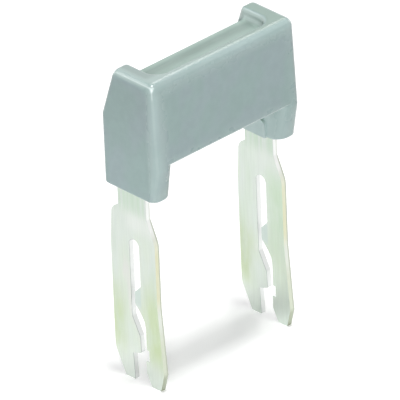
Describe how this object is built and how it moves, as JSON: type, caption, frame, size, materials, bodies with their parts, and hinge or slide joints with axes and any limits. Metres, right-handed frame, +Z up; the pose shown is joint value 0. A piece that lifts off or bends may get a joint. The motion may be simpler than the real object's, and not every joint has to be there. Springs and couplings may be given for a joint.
{
  "type": "terminal block jumper bar",
  "caption": "Insulated jumper bar for rail terminal blocks: a moulded plastic grip over a stamped, tin-plated copper strip with forked spring blades.",
  "frame": {"origin": "middle of the bounding box, at the level of the blade tips", "axes": "+Z up, from the blade tips to the grip; X along the bar; -Y towards the long plain face"},
  "size_m": [0.0136, 0.0056, 0.0242],
  "materials": {
    "grey_plastic": "semi-gloss moulded thermoplastic, grey with a green cast",
    "tin_plate": "bright tin plate over copper alloy"
  },
  "bodies": {
    "root": {"insulating_body": "grey_plastic", "jumper_strip": "tin_plate"}
  },
  "joints": []
}
